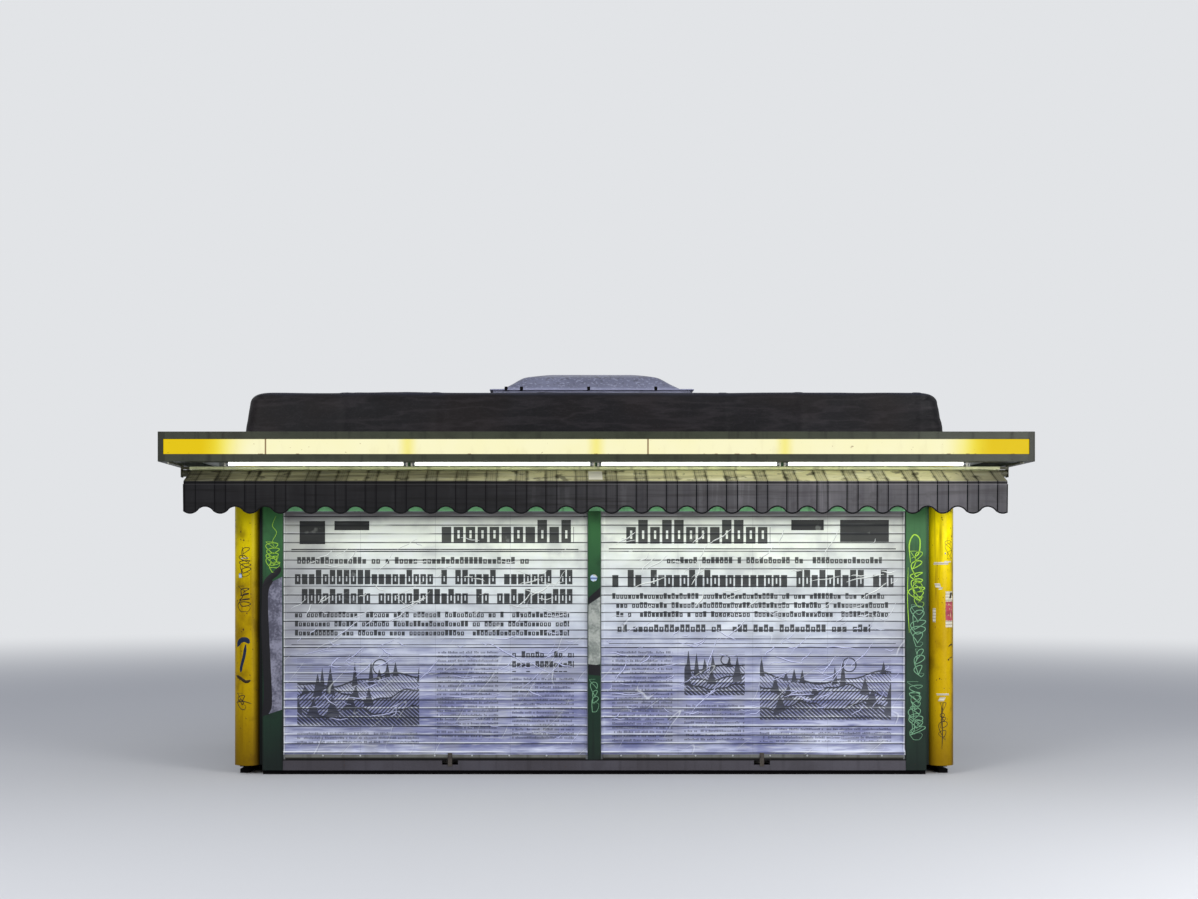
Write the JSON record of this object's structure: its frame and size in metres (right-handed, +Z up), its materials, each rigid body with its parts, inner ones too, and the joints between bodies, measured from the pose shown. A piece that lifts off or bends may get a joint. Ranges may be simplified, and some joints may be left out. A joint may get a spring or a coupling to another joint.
{
  "type": "street kiosk",
  "caption": "Closed steel street kiosk: round corner columns, roller shutters, lit canopy fascia, retracted striped awning with scalloped valance, raised roof and skylight dome.",
  "frame": {"origin": "on the ground, at the middle of the plan's bounding box", "axes": "+X along the shop front to the viewer's right, +Y from the shop front to the back, +Z up"},
  "size_m": [7.218, 3.606, 3.6],
  "materials": {
    "yellow_paint": "satin, scuffed",
    "green_paint": "satin, weathered",
    "base_paint": "matt grey, dusty",
    "skid_paint": "matt black",
    "floor_plate": "matt, worn",
    "slat_steel": "satin grey slats",
    "guide_steel": "galvanised",
    "lock_steel": "dull, rusty at the bolts",
    "frame_paint": "satin dark teal grey",
    "ceiling_paint": "matt white",
    "deck_sheet": "matt, dusty",
    "sign_acrylic": "lit opal acrylic",
    "lamp_batten": "gloss white",
    "lamp_glass": "lit opal tube",
    "awning_metal": "satin",
    "awning_cloth": "woven, faded, striped",
    "roof_skin": "bitumen-like membrane, wrinkled",
    "kerb_metal": "dull",
    "dome_plastic": "weathered translucent"
  },
  "bodies": {
    "root": {"skids_long": "skid_paint", "skids_cross": "skid_paint", "base_beam_front": "base_paint", "base_beam_back": "base_paint", "base_beams_side": "base_paint", "floor_deck": "floor_plate", "column_front_left": "yellow_paint", "column_front_right": "yellow_paint", "column_back_left": "yellow_paint", "column_back_right": "yellow_paint", "posts_front": "green_paint", "posts_back": "green_paint", "posts_side": "green_paint", "mullion_front": "green_paint", "header_front": "green_paint", "header_back": "green_paint", "headers_side": "green_paint", "shutter_front_left": "slat_steel", "shutter_front_right": "slat_steel", "shutter_side_left": "slat_steel", "shutter_side_right": "slat_steel", "shutter_guides": "guide_steel", "bottom_bar_left": "base_paint", "bottom_bar_right": "base_paint", "lock_straps": "lock_steel", "back_panel_left": "green_paint", "back_panel_right": "green_paint", "ceiling": "ceiling_paint", "roof_deck": "deck_sheet", "fascia_front": "frame_paint", "fascia_back": "frame_paint", "fascia_left": "frame_paint", "fascia_right": "frame_paint", "sign_panel_front": "sign_acrylic", "sign_panel_back": "sign_acrylic", "sign_panels_side": "sign_acrylic", "lamp_battens": "lamp_batten", "lamp_tubes": "lamp_glass", "awning_frame": "awning_metal", "awning_arms": "awning_metal", "awning_front_bar": "awning_metal", "awning_cloth": "awning_cloth", "roof_hood": "roof_skin", "skylight_well": "kerb_metal", "skylight_dome": "dome_plastic"}
  },
  "joints": []
}
